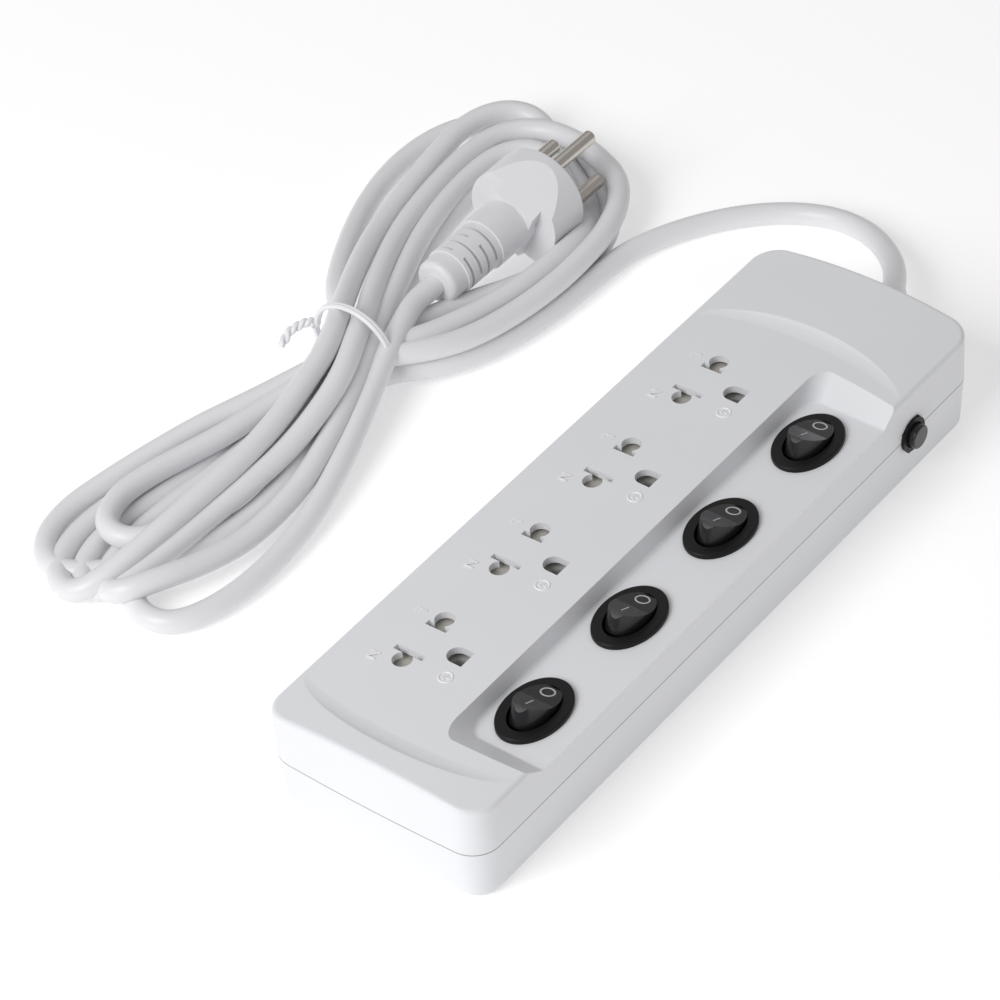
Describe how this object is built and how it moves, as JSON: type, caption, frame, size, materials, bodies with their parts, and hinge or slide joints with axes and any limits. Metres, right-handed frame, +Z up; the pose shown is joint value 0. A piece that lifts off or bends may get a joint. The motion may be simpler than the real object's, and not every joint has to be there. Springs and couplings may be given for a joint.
{
  "type": "power strip",
  "caption": "White mains power strip with a row of switched universal sockets, a push-button breaker, and a tied hank of cord ending in a moulded round-pin plug.",
  "frame": {"origin": "on the underside, under the middle of the housing", "axes": "+Z up; +Y along the housing towards the cord's end; +X across it towards the switches"},
  "size_m": [0.2376, 0.3068, 0.038],
  "materials": {
    "white_plastic": "fine satin texture",
    "white_plug": "satin",
    "cord_white": "satin",
    "black_matte": "fine matte texture",
    "black_gloss": "polished",
    "shutter_grey": "satin",
    "carrier_white": "satin",
    "brass": "bright",
    "nickel": "satin plated",
    "steel": "zinc plated",
    "tie_white": "smooth",
    "core_brown": "smooth",
    "core_blue": "smooth",
    "core_green": "smooth"
  },
  "bodies": {
    "housing": {"top_cover": "white_plastic", "bottom_cover": "white_plastic", "cover_screws": "steel", "socket_carrier": "carrier_white", "neutral_bar": "brass", "earth_bar": "brass", "feed_bar": "brass", "breaker_body": "black_matte", "breaker_collar": "black_matte", "breaker_tabs": "brass", "reset_spring": "steel", "cord_boot": "cord_white", "cord_entry": "cord_white", "cord_clamp": "carrier_white", "clamp_screws": "steel", "live_wire": "core_brown", "neutral_wire": "core_blue", "earth_wire": "core_green", "cord_lead": "cord_white", "cord_hank": "cord_white", "cord_tail": "cord_white", "cord_tie": "tie_white", "plug_body": "white_plug", "plug_relief": "white_plug", "plug_pin_line": "nickel", "plug_pin_neutral": "nickel", "plug_pin_earth": "nickel", "shutter_spring_1": "steel", "line_contact_1": "brass", "rocker_housing_1": "black_matte", "switch_tabs_1": "brass", "shutter_spring_2": "steel", "line_contact_2": "brass", "rocker_housing_2": "black_matte", "switch_tabs_2": "brass", "shutter_spring_3": "steel", "line_contact_3": "brass", "rocker_housing_3": "black_matte", "switch_tabs_3": "brass", "shutter_spring_4": "steel", "line_contact_4": "brass", "rocker_housing_4": "black_matte", "switch_tabs_4": "brass"},
    "shutter_1": {"shutter_1": "shutter_grey"},
    "shutter_2": {"shutter_2": "shutter_grey"},
    "shutter_3": {"shutter_3": "shutter_grey"},
    "shutter_4": {"shutter_4": "shutter_grey"},
    "rocker_1": {"rocker_1": "black_gloss"},
    "rocker_2": {"rocker_2": "black_gloss"},
    "rocker_3": {"rocker_3": "black_gloss"},
    "rocker_4": {"rocker_4": "black_gloss"},
    "reset_button": {"reset_button": "black_gloss"}
  },
  "joints": [
    {"name": "shutter_slide_1", "type": "slide", "parent": "housing", "child": "shutter_1", "axis": [-1, 0, 0], "range_m": [0, 0.008], "stiffness_N_per_m": 60, "springref_m": -0.003, "deforming": ["shutter_spring_1"]},
    {"name": "shutter_slide_2", "type": "slide", "parent": "housing", "child": "shutter_2", "axis": [-1, 0, 0], "range_m": [0, 0.008], "stiffness_N_per_m": 60, "springref_m": -0.003, "deforming": ["shutter_spring_2"]},
    {"name": "shutter_slide_3", "type": "slide", "parent": "housing", "child": "shutter_3", "axis": [-1, 0, 0], "range_m": [0, 0.008], "stiffness_N_per_m": 60, "springref_m": -0.003, "deforming": ["shutter_spring_3"]},
    {"name": "shutter_slide_4", "type": "slide", "parent": "housing", "child": "shutter_4", "axis": [-1, 0, 0], "range_m": [0, 0.008], "stiffness_N_per_m": 60, "springref_m": -0.003, "deforming": ["shutter_spring_4"]},
    {"name": "rocker_1_tilt", "type": "hinge", "parent": "housing", "child": "rocker_1", "pos_m": [0.023, -0.0782, 0.0302], "axis": [1, 0, 0], "range_deg": [0, 40]},
    {"name": "rocker_2_tilt", "type": "hinge", "parent": "housing", "child": "rocker_2", "pos_m": [0.023, -0.03325, 0.0302], "axis": [1, 0, 0], "range_deg": [0, 40]},
    {"name": "rocker_3_tilt", "type": "hinge", "parent": "housing", "child": "rocker_3", "pos_m": [0.023, 0.0117, 0.0302], "axis": [1, 0, 0], "range_deg": [0, 40]},
    {"name": "rocker_4_tilt", "type": "hinge", "parent": "housing", "child": "rocker_4", "pos_m": [0.023, 0.05665, 0.0302], "axis": [1, 0, 0], "range_deg": [0, 40]},
    {"name": "reset_press", "type": "slide", "parent": "housing", "child": "reset_button", "axis": [-1, 0, 0], "range_m": [0, 0.0024], "stiffness_N_per_m": 400, "springref_m": -0.002, "deforming": ["reset_spring"]}
  ]
}
